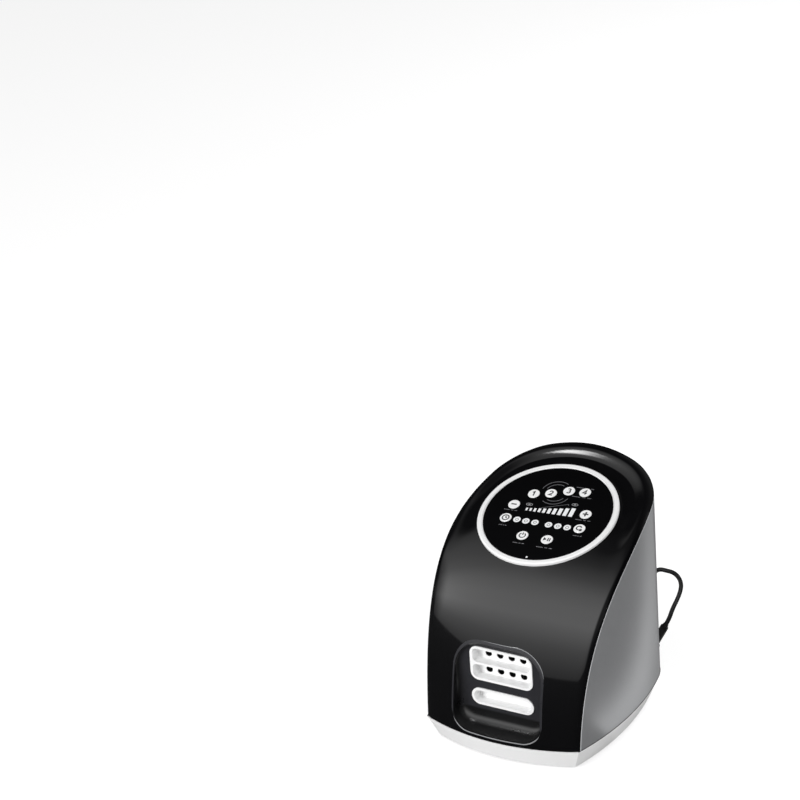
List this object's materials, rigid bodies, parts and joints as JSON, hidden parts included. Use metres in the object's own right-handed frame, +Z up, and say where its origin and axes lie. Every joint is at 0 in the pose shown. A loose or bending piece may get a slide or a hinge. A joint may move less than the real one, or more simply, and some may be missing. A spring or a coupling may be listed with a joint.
{
  "type": "compression therapy pump",
  "caption": "Tabletop air pump for compression sleeves: black sloping front and top with a round key dial, hose sockets in a front bay, silver shell and white base.",
  "frame": {"origin": "under the middle of the housing, on the surface that the rubber feet stand on", "axes": "+X to the object's right seen from the front, the front with the sockets faces -Y, +Z up"},
  "size_m": [0.2078, 0.3263, 0.2606],
  "materials": {
    "cover_black": "piano-black moulded ABS, polished",
    "shell_silver": "moulded ABS with silver metallic paint",
    "tray_white": "white moulded ABS",
    "bay_black": "black moulded ABS, polished",
    "insert_white": "white moulded ABS, satin",
    "bezel_white": "white moulded ABS ring, polished",
    "panel_black": "printed black acrylic panel",
    "key_white": "black key cap with a printed white disc",
    "lens_clear": "frosted clear light guide",
    "steel_screw": "zinc-plated steel",
    "rubber_grey": "moulded rubber",
    "silicone_hose": "extruded silicone",
    "foam_filter": "open-cell foam",
    "board_green": "glass-epoxy circuit board",
    "component_black": "moulded electronic parts",
    "led_white": "lamp bodies",
    "manifold_nylon": "moulded nylon",
    "rotor_acetal": "moulded acetal disc on a steel shaft",
    "motor_steel": "drawn steel can",
    "bracket_steel": "zinc-plated sheet steel",
    "pump_cast": "die-cast aluminium",
    "pump_lid": "pressed and painted sheet steel",
    "magnet_steel": "laminated iron and magnet block",
    "winding_copper": "enamelled copper winding",
    "cord_black": "soft PVC sheath",
    "adapter_black": "moulded polycarbonate case",
    "blade_brass": "nickel-plated brass"
  },
  "bodies": {
    "root": {"front_cover": "cover_black", "rear_shell": "shell_silver", "base_tray": "tray_white", "rubber_feet": "rubber_grey", "base_screws": "steel_screw", "intake_filter": "foam_filter", "port_bay": "bay_black", "outlet_block": "insert_white", "parking_slot": "insert_white", "dial_bezel": "bezel_white", "dial_panel": "panel_black", "level_bars": "lens_clear", "indicator_lenses": "lens_clear", "key_board": "board_green", "key_board_screws": "steel_screw", "tact_switches": "component_black", "status_leds": "led_white", "ribbon_cable": "component_black", "main_board": "board_green", "board_parts": "component_black", "pressure_sensor": "component_black", "distributor_body": "manifold_nylon", "distributor_cover": "manifold_nylon", "valve_motor": "motor_steel", "motor_screws": "steel_screw", "valve_bracket": "bracket_steel", "bracket_screws": "steel_screw", "outlet_hoses": "silicone_hose", "supply_hose": "silicone_hose", "rubber_mounts": "rubber_grey", "mount_screws": "steel_screw", "compressor_frame": "pump_cast", "compressor_lid": "pump_lid", "pump_head_right": "pump_cast", "pump_head_left": "pump_cast", "head_screws": "steel_screw", "magnet_cores": "magnet_steel", "magnet_coils": "winding_copper", "power_inlet": "component_black", "inlet_lead": "cord_black", "power_plug": "cord_black", "cord_relief": "cord_black", "power_cord": "cord_black", "cord_coil": "cord_black", "power_adapter": "adapter_black", "adapter_blades": "blade_brass"},
    "armature": {"armature": "magnet_steel", "pistons": "pump_cast"},
    "valve_rotor": {"valve_rotor": "rotor_acetal"},
    "key_mode_1": {"key_mode_1": "key_white"},
    "key_mode_2": {"key_mode_2": "key_white"},
    "key_mode_3": {"key_mode_3": "key_white"},
    "key_mode_4": {"key_mode_4": "key_white"},
    "key_pressure_down": {"key_pressure_down": "key_white"},
    "key_pressure_up": {"key_pressure_up": "key_white"},
    "key_timer": {"key_timer": "key_white"},
    "key_programme": {"key_programme": "key_white"},
    "key_power": {"key_power": "key_white"},
    "key_start_pause": {"key_start_pause": "key_white"}
  },
  "joints": [
    {"name": "key_mode_1_press", "type": "slide", "parent": "root", "child": "key_mode_1", "axis": [0, 0.299, -0.9542], "range_m": [0, 0.0008], "stiffness_N_per_m": 800},
    {"name": "key_mode_2_press", "type": "slide", "parent": "root", "child": "key_mode_2", "axis": [0, 0.299, -0.9542], "range_m": [0, 0.0008], "stiffness_N_per_m": 800},
    {"name": "key_mode_3_press", "type": "slide", "parent": "root", "child": "key_mode_3", "axis": [0, 0.299, -0.9542], "range_m": [0, 0.0008], "stiffness_N_per_m": 800},
    {"name": "key_mode_4_press", "type": "slide", "parent": "root", "child": "key_mode_4", "axis": [0, 0.299, -0.9542], "range_m": [0, 0.0008], "stiffness_N_per_m": 800},
    {"name": "key_pressure_down_press", "type": "slide", "parent": "root", "child": "key_pressure_down", "axis": [0, 0.299, -0.9542], "range_m": [0, 0.0008], "stiffness_N_per_m": 800},
    {"name": "key_pressure_up_press", "type": "slide", "parent": "root", "child": "key_pressure_up", "axis": [0, 0.299, -0.9542], "range_m": [0, 0.0008], "stiffness_N_per_m": 800},
    {"name": "key_timer_press", "type": "slide", "parent": "root", "child": "key_timer", "axis": [0, 0.299, -0.9542], "range_m": [0, 0.0008], "stiffness_N_per_m": 800},
    {"name": "key_programme_press", "type": "slide", "parent": "root", "child": "key_programme", "axis": [0, 0.299, -0.9542], "range_m": [0, 0.0008], "stiffness_N_per_m": 800},
    {"name": "key_power_press", "type": "slide", "parent": "root", "child": "key_power", "axis": [0, 0.299, -0.9542], "range_m": [0, 0.0008], "stiffness_N_per_m": 800},
    {"name": "key_start_pause_press", "type": "slide", "parent": "root", "child": "key_start_pause", "axis": [0, 0.299, -0.9542], "range_m": [0, 0.0008], "stiffness_N_per_m": 800},
    {"name": "armature_slide", "type": "slide", "parent": "root", "child": "armature", "axis": [1, 0, 0], "range_m": [-0.003, 0.003], "stiffness_N_per_m": 2000},
    {"name": "rotor_spin", "type": "hinge", "parent": "root", "child": "valve_rotor", "pos_m": [0, -0.01, 0.1011], "axis": [0, 1, 0], "continuous": true}
  ]
}
